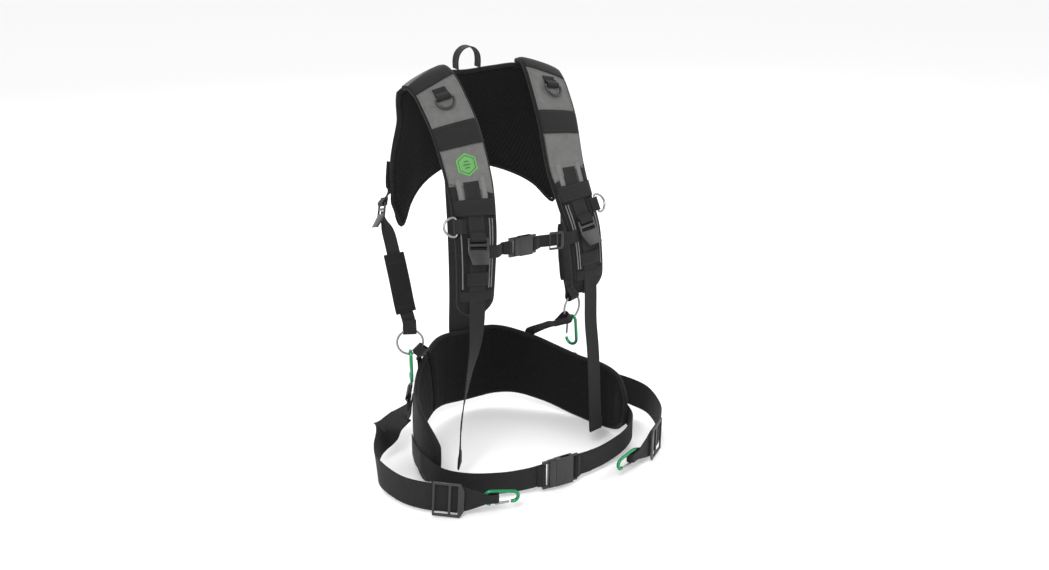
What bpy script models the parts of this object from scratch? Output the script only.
"""Safety harness: padded yoke, shoulder pads, hip belt, webbing, buckles, rings and carabiners.

Metres. +Z is up, the wearer faces -Y, and +X is the wearer's left. The origin lies midway between the
tops of the two shoulder pads, where the harness hangs on the wearer. Every paired piece is built once,
for the wearer's left, and mirrored in X for the right.
"""

import math

import bmesh
import bpy
import numpy as np
from mathutils import Matrix, Vector

GAP = 0.0004  # clearance between pieces that touch
WEB_THICK = 0.0018
NARROW_WEB = 0.020
STRAP_WEB = 0.025
WAIST_WEB = 0.038
WIDE_WEB = 0.050

PAD_THICK = 0.012
YOKE_THICK = 0.012
HIP_THICK = 0.016
HIP_SEAM = 0.0006  # gap between the lumbar pad and a wing

RING_WIRE = 0.0019
SIDE_RING_RADIUS = 0.0216  # radius of the wire's centreline
D_HALF = 0.0150  # half the width of a D-ring's centreline
D_DROP = 0.0170  # depth of its bow
LOCK_THICK = 0.003

CARABINER_WIRE = 0.0029
CARABINER_TOP = 0.0088  # radius of the end that hangs on a ring
CARABINER_FOOT = 0.0115
CARABINER_LENGTH = 0.034  # between the centres of the two ends
CARABINER_DROP = CARABINER_TOP - CARABINER_WIRE - RING_WIRE - GAP  # of its upper end's centre, on a ring
GATE_WIRE = 0.0021
GATE_PIVOT = (0.0112, -0.0300)
GATE_LENGTH = 0.0250
GATE_LEAN = 5.0  # degrees, towards the nose

SOCKET_INNER = 0.0052
SOCKET_WALL = 0.0022
PRONG_THICK = 0.0042
WAIST_BAR = 0.0312  # from the middle of the buckle to each webbing bar
CHEST_BAR = 0.0225

BAR_CLEARANCE = 0.0028  # inner radius of a webbing fold round a buckle bar
RING_CLEARANCE = 0.0058  # inner radius of a webbing fold round a steel ring
FOLD_TAIL = 0.002  # length of the fold's end that lies flat
LIFT = GAP + WEB_THICK / 2  # height of webbing's centre over the face it lies on

UP = (0.0, 0.0, 1.0)
MIRROR = Matrix.Diagonal((-1.0, 1.0, 1.0, 1.0))

# Rows are a point of the outer face and the direction across the strap, both for the wearer's left.
SHOULDER_ROWS = [
    (0.107, 0.020, 0.000, 0.94, -0.02, -0.34),
    (0.104, 0.000, 0.002, 0.94, 0.00, -0.34),
    (0.100, -0.022, -0.009, 0.95, 0.03, -0.28),
    (0.097, -0.043, -0.029, 0.97, 0.07, -0.20),
    (0.092, -0.078, -0.073, 0.99, 0.12, -0.10),
    (0.088, -0.111, -0.143, 0.99, 0.14, -0.03),
    (0.092, -0.135, -0.195, 0.99, 0.14, 0.00),
    (0.099, -0.153, -0.245, 0.99, 0.13, 0.00),
    (0.104, -0.158, -0.314, 0.99, 0.12, 0.00),
    (0.104, -0.151, -0.352, 0.99, 0.12, 0.00),
]
# Share of the pad's length, and the pad's width there.
SHOULDER_WIDTHS = [(0.0, 0.074), (0.3, 0.074), (0.5, 0.071), (0.62, 0.066), (0.8, 0.060), (1.0, 0.056)]
SHOULDER_TIP = 0.030  # length of the rounded tip

# Ribs of the yoke's lining, from the centre outwards, each from the top edge down.
YOKE_RIBS = [
    [(0.000, 0.064, -0.016), (0.000, 0.080, -0.044), (0.000, 0.092, -0.085),
     (0.000, 0.096, -0.130), (0.000, 0.094, -0.170)],
    [(0.040, 0.054, -0.012), (0.040, 0.073, -0.038), (0.040, 0.087, -0.080),
     (0.040, 0.090, -0.130), (0.041, 0.086, -0.178)],
    [(0.073, 0.031, -0.008), (0.074, 0.056, -0.027), (0.076, 0.073, -0.070),
     (0.078, 0.076, -0.128), (0.081, 0.068, -0.192)],
    [(0.106, 0.031, -0.019), (0.106, 0.048, -0.036), (0.105, 0.058, -0.075),
     (0.109, 0.058, -0.138), (0.114, 0.044, -0.212)],
    [(0.131, 0.031, -0.029), (0.128, 0.040, -0.050), (0.125, 0.047, -0.082),
     (0.139, 0.045, -0.148), (0.143, 0.021, -0.243)],
    [(0.136, 0.031, -0.032), (0.132, 0.037, -0.054), (0.129, 0.044, -0.086),
     (0.147, 0.040, -0.145), (0.156, 0.030, -0.206)],
]

# The hip belt's lining in plan, from the back centre to the front end: x, y, top edge, bottom edge.
HIP_ROWS = [
    (0.000, 0.085, -0.490, -0.620),
    (0.050, 0.075, -0.486, -0.614),
    (0.089, 0.044, -0.496, -0.612),
    (0.125, 0.004, -0.512, -0.622),
    (0.152, -0.045, -0.522, -0.634),
    (0.169, -0.092, -0.522, -0.636),
    (0.176, -0.132, -0.530, -0.628),
    (0.172, -0.160, -0.556, -0.606),
]
LUMBAR_HALF = 0.098  # half the lumbar pad's length along the belt


# ---------------------------------------------------------------------------------------------------
# Paths and sections
# ---------------------------------------------------------------------------------------------------
def smooth(rows, step):
    """Rows of numbers spaced step apart along the smooth curve through the given rows."""
    rows = np.array(rows, float)
    padded = np.vstack([2 * rows[0] - rows[1], rows, 2 * rows[-1] - rows[-2]])
    fine = []
    for a, b, c, d in zip(padded, padded[1:], padded[2:], padded[3:]):
        for t in np.linspace(0, 1, 24, endpoint=False):
            bend = 2 * a - 5 * b + 4 * c - d
            turn = 3 * b - a - 3 * c + d
            fine.append(0.5 * (2 * b + (c - a) * t + bend * t**2 + turn * t**3))
    fine = np.vstack([fine, rows[-1]])
    along = np.concatenate([[0], np.cumsum(np.linalg.norm(np.diff(fine[:, :3], axis=0), axis=1))])
    count = max(2, round(along[-1] / step) + 1)
    wanted = np.linspace(0, along[-1], count)
    return np.stack([np.interp(wanted, along, column) for column in fine.T], axis=1)


def frames(rows, closed=False):
    """(point, along, across, out) at each row; out is along x across."""
    points = rows[:, :3]
    if closed:
        along = np.roll(points, -1, axis=0) - np.roll(points, 1, axis=0)
    else:
        along = np.gradient(points, axis=0)
    result = []
    for point, ahead, across in zip(points, along, rows[:, 3:6]):
        ahead = Vector(ahead).normalized()
        across = Vector(across)
        across = (across - ahead * across.dot(ahead)).normalized()
        result.append((Vector(point), ahead, across, ahead.cross(across)))
    return result


def cut(rows, start, end):
    """The part of evenly spaced rows between two shares of their length."""
    wanted = np.linspace(start, end, max(2, round((end - start) * len(rows)) + 1))
    source = np.linspace(0, 1, len(rows))
    return np.stack([np.interp(wanted, source, column) for column in rows.T], axis=1)


def lifted(rows, height):
    """Rows moved outwards by height."""
    raised = rows.copy()
    raised[:, :3] += [tuple(out * height) for _, _, _, out in frames(rows)]
    return raised


def fold(rows, clearance, slack=0.0):
    """Rows with the webbing folded outwards round a bar at their end, and the frame of the bar.

    The frame's x axis is the bar and its z axis points outwards, so -y is the way the webbing heads.
    A slack fold turns that far beyond the bar.
    """
    point, ahead, across, out = frames(rows)[-1]
    radius = clearance + WEB_THICK / 2
    bar = point + out * radius - ahead * slack
    landing = 2.2 * radius
    lowest = -radius + WEB_THICK + 2 * GAP
    turned = []
    for angle in np.radians([30, 60, 90, 120, 150, 180, 215]):
        beyond = radius * math.sin(angle) + (slack if angle < math.pi else 0.0)
        turned.append(bar + ahead * beyond - out * (radius * math.cos(angle)))
    turned.append(bar - ahead * landing + out * lowest)
    turned.append(bar - ahead * (landing + FOLD_TAIL) + out * lowest)
    turned = [(*place, *across) for place in turned]
    return np.vstack([rows[:, :6], turned]), placement(bar, across, out)


def flat_section(width):
    half = width / 2
    high = WEB_THICK / 2
    return [(-half, -high), (half, -high), (half, high), (-half, high)]


def pad_section(width, thick, sides=10):
    """A rounded slab's outline whose outer face is at height 0."""
    outline = []
    for i in range(sides):
        angle = 2 * math.pi * (i + 0.5) / sides
        across = math.copysign(abs(math.cos(angle)) ** 0.35, math.cos(angle))
        high = math.copysign(abs(math.sin(angle)) ** 0.6, math.sin(angle))
        outline.append((across * width / 2, high * thick / 2 - thick / 2))
    return outline


def chamfered_section(width, thick, chamfer):
    """A rectangle with its corners cut off, centred on height 0."""
    quarter = [(width / 2, thick / 2 - chamfer), (width / 2 - chamfer, thick / 2)]
    half = quarter + [(-a, b) for a, b in quarter[::-1]]
    return half + [(-a, -b) for a, b in half]


def arc(centre, radius, start, end, count):
    """Points of a circular arc in the xy plane, between two angles in degrees."""
    angles = np.radians(np.linspace(start, end, count))
    return [(centre[0] + radius * math.cos(a), centre[1] + radius * math.sin(a)) for a in angles]


def round_section(radius, sides=8):
    return arc((0, 0), radius, 0, 360 - 360 / sides, sides)


# ---------------------------------------------------------------------------------------------------
# Solids, as bmeshes
# ---------------------------------------------------------------------------------------------------
def loft(rings, closed=False):
    """A solid through rings of points, capped at both ends unless it closes on itself."""
    bm = bmesh.new()
    loops = [[bm.verts.new(p) for p in ring] for ring in rings]
    pairs = list(zip(loops, loops[1:]))
    if closed:
        pairs.append((loops[-1], loops[0]))
    for a, b in pairs:
        for i in range(len(a)):
            j = (i + 1) % len(a)
            bm.faces.new((a[i], a[j], b[j], b[i]))
    if not closed:
        bm.faces.new(loops[0][::-1])
        bm.faces.new(loops[-1])
    bmesh.ops.recalc_face_normals(bm, faces=bm.faces)
    return bm


def sweep(rows, section_at, closed=False):
    """A solid along rows; section_at(share of length) gives its outline."""
    rings = []
    for i, (point, _, across, out) in enumerate(frames(rows, closed)):
        outline = section_at(i / (len(rows) - 1))
        rings.append([point + across * a + out * b for a, b in outline])
    return loft(rings, closed)


def ribbon(rows, width):
    return sweep(rows, lambda share: flat_section(width))


def tube(points, radius, normal, closed=False, sides=8):
    """A round wire along points that lie in a plane with the given normal."""
    rows = np.array([(*p, *normal) for p in points], float)
    return sweep(rows, lambda share: round_section(radius, sides), closed)


def slotted_plate(across_cuts, along_cuts, holes, thick):
    """A plate of rectangular cells, without those listed in holes as (across, along) numbers."""
    bm = bmesh.new()
    grid = [[bm.verts.new((x, y, -thick / 2)) for y in along_cuts] for x in across_cuts]
    for i in range(len(across_cuts) - 1):
        for j in range(len(along_cuts) - 1):
            if (i, j) not in holes:
                bm.faces.new((grid[i][j], grid[i + 1][j], grid[i + 1][j + 1], grid[i][j + 1]))
    loose = [v for v in bm.verts if not v.link_faces]
    bmesh.ops.delete(bm, geom=loose, context="VERTS")
    top = bmesh.ops.extrude_face_region(bm, geom=bm.faces[:])
    raised = [g for g in top["geom"] if isinstance(g, bmesh.types.BMVert)]
    bmesh.ops.translate(bm, verts=raised, vec=(0, 0, thick))
    bmesh.ops.recalc_face_normals(bm, faces=bm.faces)
    return bm


def block(low, high):
    """A box between two corners."""
    bm = bmesh.new()
    size = Vector(high) - Vector(low)
    centre = (Vector(high) + Vector(low)) / 2
    bmesh.ops.create_cube(bm, size=1, matrix=Matrix.Translation(centre) @ Matrix.Diagonal((*size, 1)))
    return bm


# ---------------------------------------------------------------------------------------------------
# Scene
# ---------------------------------------------------------------------------------------------------
def clear_scene():
    for obj in list(bpy.data.objects):
        bpy.data.objects.remove(obj)


def make_material(name, colour, roughness, metallic=0.0):
    material = bpy.data.materials.new(name)
    material.use_nodes = True
    shader = material.node_tree.nodes["Principled BSDF"]
    shader.inputs["Base Color"].default_value = (*colour, 1)
    shader.inputs["Roughness"].default_value = roughness
    shader.inputs["Metallic"].default_value = metallic
    material.diffuse_color = (*colour, 1)
    return material


def palette():
    return {
        "mesh_fabric": make_material("mesh_fabric", (0.012, 0.012, 0.013), 0.95),
        "face_fabric": make_material("face_fabric", (0.25, 0.25, 0.24), 0.85),
        "webbing": make_material("webbing", (0.030, 0.030, 0.032), 0.75),
        "plastic": make_material("plastic", (0.020, 0.020, 0.022), 0.35),
        "steel": make_material("steel", (0.70, 0.70, 0.72), 0.25, 1.0),
        "green": make_material("green", (0.03, 0.40, 0.16), 0.30, 1.0),
        "patch": make_material("patch", (0.32, 0.65, 0.24), 0.6),
    }


def placement(origin, x_axis, z_axis):
    """A frame with the given origin, x axis and, as near as can be, z axis."""
    x = Vector(x_axis).normalized()
    y = Vector(z_axis).cross(x).normalized()
    z = x.cross(y)
    matrix = Matrix((x, y, z)).transposed().to_4x4()
    matrix.translation = Vector(origin)
    return matrix


def add(name, bm, material, place=None, smooth_angle=40):
    """One named object from a bmesh."""
    place = place or Matrix.Identity(4)
    mesh = bpy.data.meshes.new(name)
    bm.to_mesh(mesh)
    bm.free()
    mesh.shade_smooth()
    mesh.set_sharp_from_angle(angle=math.radians(smooth_angle))
    mesh.materials.append(material)
    obj = bpy.data.objects.new(name, mesh)
    bpy.context.collection.objects.link(obj)
    obj.matrix_world = place
    return obj


def mirrored(bm):
    """The bmesh, mirrored in X."""
    bmesh.ops.transform(bm, matrix=MIRROR, verts=bm.verts)
    bmesh.ops.reverse_faces(bm, faces=bm.faces)
    return bm


def add_pair(name, build, material, place=None, smooth_angle=40):
    """The left piece and its mirror image, as name_left and name_right."""
    place = place or Matrix.Identity(4)
    left = add(name + "_left", build(), material, place, smooth_angle)
    right = add(name + "_right", mirrored(build()), material, MIRROR @ place @ MIRROR, smooth_angle)
    return left, right


def attach(pieces, holders):
    """Parent each piece to its holder, where it is."""
    for piece, holder in zip(pieces, holders):
        place = piece.matrix_world.copy()
        piece.parent = holder
        piece.matrix_world = place


# ---------------------------------------------------------------------------------------------------
# Padded pieces
# ---------------------------------------------------------------------------------------------------
ROW_STEP = 0.009
SHOULDER = smooth(SHOULDER_ROWS, ROW_STEP)
SHOULDER_LENGTH = ROW_STEP * (len(SHOULDER) - 1)


def shoulder_width(share):
    """The pad's width at a share of its length, with the tip rounded off."""
    shares, widths = zip(*SHOULDER_WIDTHS)
    width = float(np.interp(share, shares, widths))
    into_tip = max(0.0, 1 - (1 - share) * SHOULDER_LENGTH / SHOULDER_TIP)
    return width * max(0.3, math.sqrt(1 - into_tip**2))


def shoulder_pad():
    return sweep(SHOULDER, lambda share: pad_section(shoulder_width(share), PAD_THICK))


def over_shoulder(start, end):
    """Rows of webbing that lies on the shoulder pad, between two distances along it."""
    return lifted(cut(SHOULDER, start / SHOULDER_LENGTH, end / SHOULDER_LENGTH), LIFT)


YOKE_COLUMNS, YOKE_ROWS = 33, 12
FINE_STEP = 0.001


def evenly(points, count):
    """So many points at even spacing along the smooth curve through the given ones."""
    fine = smooth(points, FINE_STEP)
    return fine[np.linspace(0, len(fine) - 1, count).round().astype(int)]


def yoke_grid():
    """The yoke's lining as a grid of points, from the wearer's right to left and from the top down."""
    half = [evenly(rib, YOKE_ROWS) for rib in YOKE_RIBS]
    ribs = [rib * [-1, 1, 1] for rib in half[:0:-1]] + half
    grid = [evenly([rib[i] for rib in ribs], YOKE_COLUMNS) for i in range(YOKE_ROWS)]
    return np.array(grid).transpose(1, 0, 2)


YOKE = yoke_grid()


def yoke_normals():
    """Unit normals of the yoke's lining, pointing away from the wearer."""
    normals = np.cross(np.gradient(YOKE, axis=0), np.gradient(YOKE, axis=1))
    return normals / np.linalg.norm(normals, axis=2, keepdims=True)


YOKE_OUT = yoke_normals()
RIM_INNER, RIM_OUTER = 0.28, 0.72  # shares of the thickness where the rim's two edges lie


def back_yoke():
    """A slab on the lining's grid, thinner at its rim."""
    columns, rows = YOKE_COLUMNS, YOKE_ROWS
    bm = bmesh.new()
    layers = []
    for full, thin in ((0.0, RIM_INNER), (1.0, RIM_OUTER)):
        layer = {}
        for i in range(columns):
            for j in range(rows):
                rim = i in (0, columns - 1) or j in (0, rows - 1)
                height = YOKE_THICK * (thin if rim else full)
                layer[i, j] = bm.verts.new(YOKE[i, j] + YOKE_OUT[i, j] * height)
        layers.append(layer)
        for i in range(columns - 1):
            for j in range(rows - 1):
                bm.faces.new((layer[i, j], layer[i + 1, j], layer[i + 1, j + 1], layer[i, j + 1]))
    rim = [(i, 0) for i in range(columns)] + [(columns - 1, j) for j in range(1, rows)]
    rim += [(i, rows - 1) for i in range(columns - 2, -1, -1)] + [(0, j) for j in range(rows - 2, 0, -1)]
    inner, outer = layers
    for a, b in zip(rim, rim[1:] + rim[:1]):
        bm.faces.new((inner[a], inner[b], outer[b], outer[a]))
    bmesh.ops.recalc_face_normals(bm, faces=bm.faces)
    return bm


def over_yoke(across, down):
    """A point over the yoke, at shares across it (0 right, 1 left) and down it, and the way across."""
    i = int(across * (YOKE_COLUMNS - 1))
    j = int(down * (YOKE_ROWS - 1))
    tangent = Vector(YOKE[i - 1, j] - YOKE[i + 1, j]).normalized()
    height = YOKE_THICK + LIFT + GAP
    return Vector(YOKE[i, j] + YOKE_OUT[i, j] * height), tangent


HIP_STEP = 0.006


def hip_belt():
    """Rows along the belt's outer face, from the right front end to the left one, with its height."""
    rows = [(x, y, (top + bottom) / 2, 0, 0, -1, top - bottom) for x, y, top, bottom in HIP_ROWS]
    right = [(-row[0], *row[1:]) for row in rows[:0:-1]]
    return lifted(smooth(right + rows, HIP_STEP), HIP_THICK)


HIP = hip_belt()
HIP_FRAMES = frames(HIP)
HIP_MIDDLE = len(HIP) // 2
SEAM_ROWS = round(LUMBAR_HALF / HIP_STEP)


def hip_solid(picks, start_gap=0.0):
    """The stretch of the belt through the picked rows."""
    rings = []
    for i in picks:
        point, ahead, across, out = HIP_FRAMES[i]
        point = point + ahead * (start_gap if i == picks[0] else 0.0)
        outline = pad_section(HIP[i, 6], HIP_THICK)
        rings.append([point + across * a + out * b for a, b in outline])
    return loft(rings)


def lumbar_pad():
    return hip_solid(range(HIP_MIDDLE - SEAM_ROWS, HIP_MIDDLE + SEAM_ROWS + 1, 2))


def hip_wing():
    return hip_solid(range(HIP_MIDDLE + SEAM_ROWS, len(HIP), 2), HIP_SEAM)


def over_hip(distance, below_top, height=LIFT + GAP):
    """A point over the belt's outer face, so far from the back's centre, and the way forwards there."""
    i = HIP_MIDDLE + int(distance / HIP_STEP)
    share = distance / HIP_STEP % 1
    (a, ahead, _, out), (b, ahead_b, _, out_b) = HIP_FRAMES[i : i + 2]
    belt_height = HIP[i, 6] * (1 - share) + HIP[i + 1, 6] * share
    outward = out.lerp(out_b, share).normalized()
    point = a.lerp(b, share) + Vector((0, 0, belt_height / 2 - below_top)) + outward * height
    return point, ahead.lerp(ahead_b, share).normalized()


# ---------------------------------------------------------------------------------------------------
# Webbing: each function gives rows for the wearer's left
# ---------------------------------------------------------------------------------------------------
DOWN = Vector((0, 0, -1))
RING_ACROSS = Vector((0.94, 0.34, 0)).normalized()
RING_CENTRE = Vector((0.158, -0.021, -0.432))

D_TAB_WEB = 0.022
RING_WEB = 0.022
HIP_TAB_WEB = 0.018


def row(point, across):
    return (*point, *across)


def front_ring_tab_rows():
    return fold(over_shoulder(0.056, 0.075), BAR_CLEARANCE)


def shoulder_webbing_rows():
    return fold(over_shoulder(0.214, 0.304), BAR_CLEARANCE)


def outer_ring_tab_rows():
    """A short tab that heads sideways over the pad's outer edge."""
    point, ahead, across, out = frames(over_shoulder(0.277, 0.300))[1]
    path = [(0.017, 0.0), (0.025, 0.0004), (0.032, 0.0012)]
    rows = [row(point + across * side - out * drop, -ahead) for side, drop in path]
    return fold(smooth(rows, 0.004), BAR_CLEARANCE)


def shoulder_tail_rows(hang):
    """From beneath the ladder lock, down the pad, out at its tip and hanging free."""
    on_pad = over_shoulder(0.318, SHOULDER_LENGTH - 0.045)[::2]
    return smooth([tuple(r[:6]) for r in on_pad] + hang, 0.012)


# The tails' free ends, both as if on the wearer's left; the right one twists edge-on.
LEFT_TAIL = [
    (0.105, -0.1610, -0.352, 0.99, 0.12, 0),
    (0.107, -0.160, -0.400, 0.99, 0.12, 0),
    (0.112, -0.162, -0.460, 0.99, 0.12, 0),
    (0.118, -0.160, -0.540, 0.99, 0.12, 0),
    (0.123, -0.158, -0.606, 0.99, 0.12, 0),
]
RIGHT_TAIL = [
    (0.105, -0.1610, -0.352, 0.99, 0.12, 0),
    (0.108, -0.158, -0.400, 0.95, -0.30, 0),
    (0.117, -0.150, -0.460, 0.70, -0.70, 0),
    (0.126, -0.140, -0.540, 0.45, -0.89, 0),
    (0.129, -0.136, -0.618, 0.60, -0.80, 0),
]


def chest_webbing_rows(bar):
    """From the shoulder pad's inner edge to a buckle bar at x = bar."""
    point, ahead, across, out = frames(over_shoulder(0.324, 0.333))[0]
    rows = [row(point - across * side + out * GAP, ahead) for side in (0.0195, 0.0260, 0.0325)]
    edge = point - across * 0.0345
    for share, forward in ((0.35, 0.0035), (0.75, 0.0070)):
        x = edge.x + (bar + 0.012 - edge.x) * share
        rows.append(row((x, edge.y + forward, edge.z), DOWN))
    rows += [row((bar + side, CHEST_Y, edge.z), DOWN) for side in (0.012, 0.006, 0)]
    return fold(smooth(rows, 0.004), BAR_CLEARANCE)


CHEST_Y = -0.1500
CHEST_MIDDLE = -0.020  # where the chest buckle sits


def waist_webbing_rows():
    rows = [row(over_hip(distance, below, LIFT + 3 * GAP)[0], DOWN) for distance, below in WAIST_ON_WING]
    rows += [row(point, DOWN) for point in WAIST_FREE]
    return fold(smooth(rows, 0.008), BAR_CLEARANCE)


WAIST_ON_WING = [(0.236, 0.075), (0.262, 0.076), (0.288, 0.070), (0.306, 0.062)]
WAIST_FREE = [
    (0.184, -0.180, -0.602),
    (0.150, -0.208, -0.608),
    (0.100, -0.226, -0.612),
    (0.060, -0.235, -0.612),
    (WAIST_BAR + 0.008, -0.2372, -0.611),
    (WAIST_BAR, -0.2372, -0.611),
]


def wing_lock_tab_rows():
    """Over the yoke's lower outer corner."""
    rows = [row(*over_yoke(0.94, down)) for down in (0.60, 0.70)]
    rows += [row(point, across) for point, across in WING_TAB_FREE]
    return fold(smooth(rows, 0.005), BAR_CLEARANCE)


WING_TAB_FREE = [
    ((0.1520, 0.0510, -0.188), (-0.80, 0.60, 0)),
    ((0.1590, 0.0485, -0.197), (-0.50, 0.86, 0)),
    ((0.1640, 0.0455, -0.205), (-0.15, 0.99, 0)),
    ((0.1655, 0.0440, -0.210), (-0.15, 0.99, 0)),
]


def side_webbing_rows():
    """From beneath the wing's lock down to the side ring, folded round the ring."""
    ring_top, _ = around_ring(90)
    behind = Vector((-RING_ACROSS.y, RING_ACROSS.x, 0)) * (RING_CLEARANCE + WEB_THICK / 2)
    lock = wing_lock_tab_rows()[1]
    across = lock.col[0].xyz
    beneath = -(LOCK_THICK + WEB_THICK) / 2 - GAP
    rows = [row(lock @ Vector((0, -0.012, beneath)), across)]
    rows += [row(lock @ Vector((0, -0.024, beneath - 0.0012)), across)]
    rows += [row(point, across) for point, across in SIDE_ROUTE]
    rows += [row(ring_top + behind + Vector((0, 0, rise)), RING_ACROSS) for rise in (0.012, 0)]
    return fold(smooth(rows, 0.009), RING_CLEARANCE)


SIDE_ROUTE = [
    ((0.1672, 0.0290, -0.255), (0.72, 0.69, 0)),
    ((0.1645, 0.0215, -0.280), (0.84, 0.54, 0)),
    ((0.1600, 0.009, -0.330), (0.92, 0.39, 0)),
    ((0.1575, -0.004, -0.375), (0.94, 0.34, 0)),
]
SLEEVE_SHARES = (0.36, 0.86)


def around_ring(degrees):
    """The point of the side ring at an angle from its forward side, and the ring's direction there."""
    angle = math.radians(degrees)
    radial = RING_ACROSS * math.cos(angle) + Vector((0, 0, math.sin(angle)))
    tangent = RING_ACROSS * -math.sin(angle) + Vector((0, 0, math.cos(angle)))
    return RING_CENTRE + radial * SIDE_RING_RADIUS, tangent


def hip_tab_rows():
    """From the belt's outer face over its top edge to the side ring, which it holds from below."""
    start, ahead = over_hip(HIP_TAB_AT, 0.022)
    edge, _ = over_hip(HIP_TAB_AT, 0.002)
    on_ring, tangent = around_ring(HIP_TAB_ANGLE)
    pull = on_ring - edge
    pull = (pull - tangent * pull.dot(tangent)).normalized()
    end = on_ring - pull.cross(tangent) * (HIP_RING_CLEARANCE + WEB_THICK / 2)
    above = edge + Vector((0, 0, 0.008))
    rows = [row(start, ahead), row(edge, ahead), row(above + pull * 0.003, ahead)]
    rows += [row(above.lerp(end, 0.5) + Vector((0, 0, 0.003)), tangent)]
    rows += [row(end - pull * straight, tangent) for straight in (0.022, 0.011, 0)]
    return fold(smooth(rows, 0.006), HIP_RING_CLEARANCE)


HIP_TAB_AT = 0.112
HIP_TAB_ANGLE = 225  # degrees round the side ring
HIP_RING_CLEARANCE = 0.0068


def hip_lock_tab_rows():
    """Down the wing's outer face from its top edge."""
    rows = []
    for below in (0.004, 0.010, 0.016):
        point, ahead = over_hip(HIP_LOCK_AT, below, LIFT + 3 * GAP)
        rows.append(row(point, -ahead))
    return fold(smooth(rows, 0.004), BAR_CLEARANCE)


HIP_LOCK_AT = 0.176


def load_webbing_rows():
    """From beneath the hip lock, round the hip and forwards to the loop that holds a carabiner."""
    rows = []
    for below, height in LOAD_START:
        point, ahead = over_hip(HIP_LOCK_AT, below, height)
        rows.append(row(point, -ahead))
    rows += [row(point, across) for point, across in LOAD_ROUTE]
    return fold(smooth(rows, 0.009), LOAD_LOOP_CLEARANCE, LOAD_LOOP_SLACK)


LOAD_START = [(0.029, 0.0018), (0.037, 0.0020), (0.044, 0.0035), (0.050, 0.0080), (0.056, 0.0160)]
LOAD_ROUTE = [
    ((0.190, -0.007, -0.581), (-0.46, 0.84, 0.25)),
    ((0.210, -0.018, -0.588), (-0.40, 0.75, 0.50)),
    ((0.232, -0.044, -0.593), (-0.25, 0.50, 0.82)),
    ((0.253, -0.083, -0.597), (0.00, 0.25, 0.96)),
    ((0.262, -0.120, -0.601), (0.03, 0.08, 1.00)),
    ((0.250, -0.168, -0.607), (0.05, 0.00, 1.00)),
    ((0.227, -0.202, -0.609), (0.05, 0.00, 1.00)),
    ((0.203, -0.222, -0.610), (0.05, 0.00, 1.00)),
    ((0.175, -0.241, -0.612), (0.03, 0.00, 1.00)),
    ((0.150, -0.254, -0.613), (0.00, 0.00, 1.00)),
    ((0.138, -0.259, -0.614), (0.00, 0.00, 1.00)),
    ((0.130, -0.262, -0.614), (0.00, 0.00, 1.00)),
]
LOAD_TAPER = (0.76, 0.86)  # shares of the strap's length between which it narrows
LOAD_END_WEB = 0.015
LOAD_LOOP_CLEARANCE = 0.0045
LOAD_LOOP_SLACK = 0.018


def load_webbing():
    rows, _ = load_webbing_rows()

    def section(share):
        return flat_section(float(np.interp(share, LOAD_TAPER, (WIDE_WEB, LOAD_END_WEB))))

    return sweep(rows, section)


SPINE_ROWS = [
    (0, 0.1110, -0.120, 1, 0, 0),
    (0, 0.1115, -0.160, 1, 0, 0),
    (0, 0.1070, -0.205, 1, 0, 0),
    (0, 0.1000, -0.300, 1, 0, 0),
    (0, 0.0990, -0.400, 1, 0, 0),
    (0, 0.1035, -0.470, 1, 0, 0),
    (0, 0.1035, -0.500, 1, 0, 0),
    (0, 0.1030, -0.560, 1, 0, 0),
]


def hang_loop_rows():
    """An arch that stands on the yoke's top rim."""
    half = [row(point, (0, 1, 0)) for point in HANG_ARCH]
    return smooth(half + [(-x, y, z, a, b, c) for x, y, z, a, b, c in half[-2::-1]], 0.006)


HANG_ARCH = [
    (0.0200, 0.0650, -0.0060),
    (0.0205, 0.0645, 0.0060),
    (0.0180, 0.0635, 0.0180),
    (0.0100, 0.0625, 0.0270),
    (0.0000, 0.0620, 0.0300),
]


def sleeve(rows):
    """A padded tube round the webbing that runs through it."""
    bm = bmesh.new()
    layers = []
    channel = RING_WEB + 0.005
    for width, thick, chamfer in ((SLEEVE_WIDE, SLEEVE_THICK, 0.0035), (channel, 0.0034, 0.0004)):
        rings = []
        for point, _, across, out in frames(rows):
            outline = chamfered_section(width, thick, chamfer)
            rings.append([bm.verts.new(point + across * a + out * b) for a, b in outline])
        layers.append(rings)
    outer, inner = layers
    count = len(outer[0])
    for rings in layers:
        for a, b in zip(rings, rings[1:]):
            for i in range(count):
                j = (i + 1) % count
                bm.faces.new((a[i], a[j], b[j], b[i]))
    for end in (0, -1):
        for i in range(count):
            j = (i + 1) % count
            bm.faces.new((outer[end][i], outer[end][j], inner[end][j], inner[end][i]))
    bmesh.ops.recalc_face_normals(bm, faces=bm.faces)
    return bm


SLEEVE_WIDE = 0.034
SLEEVE_THICK = 0.011


# ---------------------------------------------------------------------------------------------------
# Buckles and rings
# ---------------------------------------------------------------------------------------------------
def ladder_lock(width, thumb):
    """A ladder lock: its top bar lies along x at the origin, its length down -y and its face up z."""
    inner, outer = width / 2 + 0.0010, width / 2 + 0.0045
    along = [-0.0205, -0.0170, -0.0115, -0.0075, -0.0016, 0.0016]
    holes = [(1, 1), (1, 3)]
    foot = along[0]
    if thumb:
        along = [-0.040, -0.030] + along
        holes = [(1, 3), (1, 5)]
    bm = slotted_plate([-outer, -inner, inner, outer], along, holes, LOCK_THICK)
    for vert in bm.verts:
        beyond = max(0.0, foot - vert.co.y)
        vert.co.z += THUMB_LIFT * beyond
        vert.co.x *= 1 - THUMB_TAPER * beyond
    return bm


THUMB_LIFT = 0.45  # rise of the thumb tab per metre of its length
THUMB_TAPER = 12.0


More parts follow.
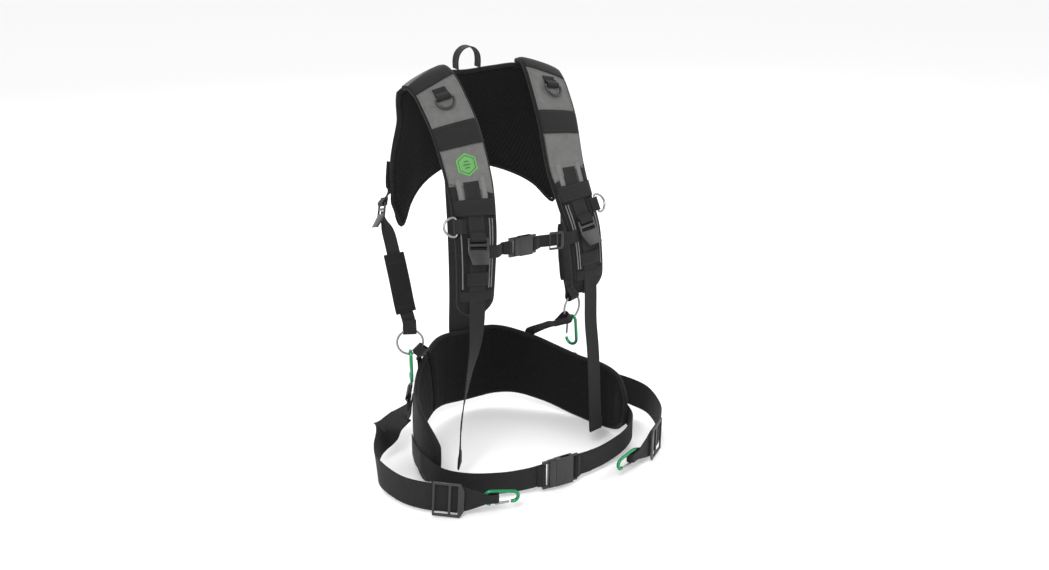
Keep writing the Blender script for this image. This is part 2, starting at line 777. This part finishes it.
def tri_glide(web, scale=1.0):
    """A slide. x runs across the webbing, y along it, and z out of its face; one end bows out."""
    inner, outer = web / 2 + 0.0012, web / 2 + 0.0050
    along = [scale * y for y in GLIDE_CUTS]
    holes = [(1, 1), (1, 2), (1, 4)]
    bm = slotted_plate([-outer, -inner, inner, outer], along, holes, LOCK_THICK * scale)
    for vert in bm.verts:
        if vert.co.y > along[-2] + GAP:
            vert.co.x *= 0.6
    return bm


GLIDE_CUTS = (-0.0270, -0.0235, -0.0130, -0.0020, 0.0020, 0.0130, 0.0170, 0.0230)


def d_ring():
    """A D-ring with its straight bar along x at the origin and its bow down -y."""
    bow = [(x, -0.0030 + y * D_DROP / D_HALF) for x, y in arc((0, 0), D_HALF, 0, -180, 15)]
    points = [(-D_HALF + 0.003, 0), (0, 0), (D_HALF - 0.003, 0)] + bow
    return tube([(x, y, 0) for x, y in points], RING_WIRE, UP, closed=True, sides=6)


def side_ring():
    """A round ring in the xz plane, hung from the origin."""
    circle = arc((0, -SIDE_RING_RADIUS), SIDE_RING_RADIUS, 0, 360 - 360 / 28, 28)
    return tube([(x, 0, z) for x, z in circle], RING_WIRE, (0, 1, 0), closed=True, sides=6)


def carabiner_body(rise):
    """A D-shaped hook in the xy plane, its upper end's centre at y = rise and its gate side on +x."""
    upper = arc((0, rise), CARABINER_TOP, -20, 180, 12)
    lower = arc((0, rise - CARABINER_LENGTH), CARABINER_FOOT, 180, 355, 11)
    return tube([(x, y, 0) for x, y in upper + lower], CARABINER_WIRE, UP)


def carabiner_gate():
    """The gate, from its pivot at the origin up to the nose."""
    lean = math.radians(90 + GATE_LEAN)
    tip = Vector((math.cos(lean), math.sin(lean), 0)) * GATE_LENGTH
    return tube([tip * 0.03, tip * 0.5, tip], GATE_WIRE, UP)


def combined(solid, other, operation):
    """The union or the difference of two bmeshes."""
    objects = []
    for bm in (solid, other):
        mesh = bpy.data.meshes.new("blank")
        bm.to_mesh(mesh)
        bm.free()
        obj = bpy.data.objects.new("blank", mesh)
        bpy.context.collection.objects.link(obj)
        objects.append(obj)
    base, tool = objects
    modifier = base.modifiers.new("combine", "BOOLEAN")
    modifier.object = tool
    modifier.operation = operation
    modifier.solver = "EXACT"
    result = bmesh.new()
    result.from_object(base, bpy.context.evaluated_depsgraph_get())
    for obj in objects:
        mesh = obj.data
        bpy.data.objects.remove(obj)
        bpy.data.meshes.remove(mesh)
    return result


def buckle_socket(web, bar):
    """The socket of a side-release buckle: its webbing bar at x = bar, its mouth towards -x."""
    inner, outer = web / 2 + 0.001, web / 2 + 0.0055
    high = SOCKET_INNER / 2 + SOCKET_WALL
    mouth, rear, deep = -0.30 * bar, 0.73 * bar, 0.55 * bar
    low, top = -SOCKET_INNER / 2, SOCKET_INNER / 2
    across = [rear - 0.003, rear + 0.001, bar - 0.0016, bar + 0.0016]
    along = [-outer + GAP, -inner, inner, outer - GAP]
    bm = block((mouth, -outer, -high), (rear, outer, high))
    bm = combined(bm, slotted_plate(across, along, [(1, 1)], LOCK_THICK), "UNION")
    cavity = block((mouth - 0.01, -outer + 0.002, low), (deep, outer - 0.002, top))
    bm = combined(bm, cavity, "DIFFERENCE")
    windows = block((0.02 * bar, -outer - 0.01, low), (deep, outer + 0.01, top))
    return combined(bm, windows, "DIFFERENCE")


def buckle_plug(web, bar):
    """The plug: its webbing bar at x = -bar, a base against the mouth, and prongs and a guide inside."""
    inner, outer = web / 2 + 0.001, web / 2 + 0.0055
    base = -0.70 * bar
    neck = -0.30 * bar - GAP
    barb, tip = 0.08 * bar, 0.38 * bar
    across = [-bar - 0.0016, -bar + 0.0016, base, neck, barb, tip]
    along = [-outer, -inner, -inner + 0.004, -0.003, 0.003, inner - 0.004, inner, outer]
    solid = {(0, j) for j in range(7)} | {(1, 0), (1, 6)} | {(2, j) for j in range(7)}
    solid |= {(3, 1), (3, 3), (3, 5), (4, 0), (4, 1), (4, 5), (4, 6)}
    holes = {(i, j) for i in range(5) for j in range(7)} - solid
    bm = slotted_plate(across, along, holes, PRONG_THICK)
    for vert in bm.verts:
        if vert.co.x > neck + GAP and abs(vert.co.y) > inner + GAP:
            vert.co.y = math.copysign(outer - 0.0026, vert.co.y)
    high = SOCKET_INNER / 2 + SOCKET_WALL
    body = block((base + GAP, -outer + 0.001, -high), (neck - 0.0001, outer - 0.001, high))
    return combined(bm, body, "UNION")


def hexagon(radius, thick):
    bm = bmesh.new()
    bmesh.ops.create_cone(bm, cap_ends=True, segments=6, radius1=radius, radius2=radius, depth=thick)
    return bm


# ---------------------------------------------------------------------------------------------------
# Assembly
# ---------------------------------------------------------------------------------------------------
def soft_goods(paint):
    add_pair("shoulder_pad", shoulder_pad, paint["face_fabric"])
    add("back_yoke", back_yoke(), paint["mesh_fabric"])
    add("lumbar_pad", lumbar_pad(), paint["mesh_fabric"])
    add_pair("hip_wing", hip_wing, paint["mesh_fabric"])
    add("spine_strap", ribbon(smooth(SPINE_ROWS, 0.012), WIDE_WEB), paint["webbing"])
    add("hang_loop", ribbon(hang_loop_rows(), NARROW_WEB), paint["webbing"])
    left_tail = ribbon(shoulder_tail_rows(LEFT_TAIL), STRAP_WEB)
    right_tail = ribbon(shoulder_tail_rows(RIGHT_TAIL), STRAP_WEB)
    add("shoulder_tail_left", left_tail, paint["webbing"])
    add("shoulder_tail_right", mirrored(right_tail), paint["webbing"])
    add_pair("load_webbing", load_webbing, paint["webbing"])
    sleeve_rows = cut(side_webbing_rows()[0][:-9], *SLEEVE_SHARES)
    add_pair("side_sleeve", lambda: sleeve(sleeve_rows), paint["mesh_fabric"])


def folded_webbing(paint):
    """Webbing that ends in a fold round a bar. Returns the bar frame of each, by name."""
    kinds = {
        "shoulder_webbing": (shoulder_webbing_rows, STRAP_WEB),
        "front_ring_tab": (front_ring_tab_rows, D_TAB_WEB),
        "outer_ring_tab": (outer_ring_tab_rows, D_TAB_WEB),
        "waist_webbing": (waist_webbing_rows, WAIST_WEB),
        "wing_lock_tab": (wing_lock_tab_rows, STRAP_WEB),
        "side_webbing": (side_webbing_rows, RING_WEB),
        "hip_tab": (hip_tab_rows, HIP_TAB_WEB),
        "hip_lock_tab": (hip_lock_tab_rows, WIDE_WEB),
    }
    bars = {"load_webbing": load_webbing_rows()[1]}
    for name, (make_rows, width) in kinds.items():
        rows, bars[name] = make_rows()
        add_pair(name, lambda rows=rows, width=width: ribbon(rows, width), paint["webbing"])
    left, bars["chest_webbing"] = chest_webbing_rows(CHEST_BAR + CHEST_MIDDLE)
    right, _ = chest_webbing_rows(CHEST_BAR - CHEST_MIDDLE)
    add("chest_webbing_left", ribbon(left, NARROW_WEB), paint["webbing"])
    add("chest_webbing_right", mirrored(ribbon(right, NARROW_WEB)), paint["webbing"])
    return bars


def locks(paint, bars):
    plastic = paint["plastic"]
    kinds = [
        ("shoulder_lock", STRAP_WEB, True, "shoulder_webbing"),
        ("wing_lock", STRAP_WEB, True, "wing_lock_tab"),
        ("hip_lock", WIDE_WEB, False, "hip_lock_tab"),
    ]
    for name, web, thumb, tab in kinds:
        add_pair(name, lambda web=web, thumb=thumb: ladder_lock(web, thumb), plastic, bars[tab], 20)
    glide = slider_frame(load_webbing_rows()[0], GLIDE_ROW, -1)
    add_pair("load_triglide", lambda: tri_glide(WIDE_WEB), plastic, glide, 20)
    place = slider_frame(chest_webbing_rows(CHEST_BAR + CHEST_MIDDLE)[0], CHEST_SLIDER_ROW, 1)
    add("chest_slider", tri_glide(NARROW_WEB, 0.5), plastic, place, 20)


CHEST_SLIDER_ROW = 10
GLIDE_ROW = 38
SLIDER_HEIGHT = (WEB_THICK + LOCK_THICK) / 2 + 0.0024


def slider_frame(rows, at, face):
    """On the webbing's outer face (1) or its other one (-1)."""
    point, _, across, out = frames(rows)[at]
    return placement(point + out * SLIDER_HEIGHT * face, across, out * face)


def add_carabiners(paint, name, place, rise):
    """A pair of carabiners that turn about the frame's origin, with their gates."""
    bodies = add_pair(f"{name}_carabiner", lambda: carabiner_body(rise), paint["green"], place)
    pivot = place @ Matrix.Translation((GATE_PIVOT[0], GATE_PIVOT[1] + rise, 0))
    gates = add_pair(f"{name}_gate", carabiner_gate, paint["steel"], pivot)
    attach(gates, bodies)
    return bodies


def rings(paint, bars):
    """The rings, and the carabiners on the side rings and in the load straps' end loops."""
    add_pair("front_d_ring", d_ring, paint["plastic"], bars["front_ring_tab"])
    add_pair("outer_d_ring", d_ring, paint["steel"], bars["outer_ring_tab"])
    ring_top, _ = around_ring(90)
    side_rings = add_pair("side_ring", side_ring, paint["steel"], placement(ring_top, RING_ACROSS, UP))
    ring_bottom, _ = around_ring(270)
    hook = placement(ring_bottom, (-RING_ACROSS.y, RING_ACROSS.x, 0), RING_ACROSS)
    attach(add_carabiners(paint, "ring", hook, -CARABINER_DROP), side_rings)
    loop = bars["load_webbing"] @ Matrix.Rotation(math.pi, 4, "Z")
    add_carabiners(paint, "load", loop, CARABINER_LENGTH + CARABINER_FOOT)


def buckles(paint, bars):
    for name, web, bar, middle_x in (
        ("waist", WAIST_WEB, WAIST_BAR, 0.0),
        ("chest", NARROW_WEB, CHEST_BAR, CHEST_MIDDLE),
    ):
        middle = bars[f"{name}_webbing"].translation.copy()
        middle.x = middle_x
        place = placement(middle, (1, 0, 0), (0, -1, 0))
        add(f"{name}_socket", buckle_socket(web, bar), paint["plastic"], place, 20)
        add(f"{name}_plug", buckle_plug(web, bar), paint["plastic"], place, 20)


def patch(paint):
    point, _, across, out = frames(over_shoulder(0.187, 0.205))[0]
    place = MIRROR @ placement(point + out * 0.0004, across, out) @ MIRROR
    add("patch", hexagon(0.0185, 0.0012), paint["patch"], place, 20)


def main():
    clear_scene()
    paint = palette()
    soft_goods(paint)
    bars = folded_webbing(paint)
    locks(paint, bars)
    rings(paint, bars)
    buckles(paint, bars)
    patch(paint)


main()
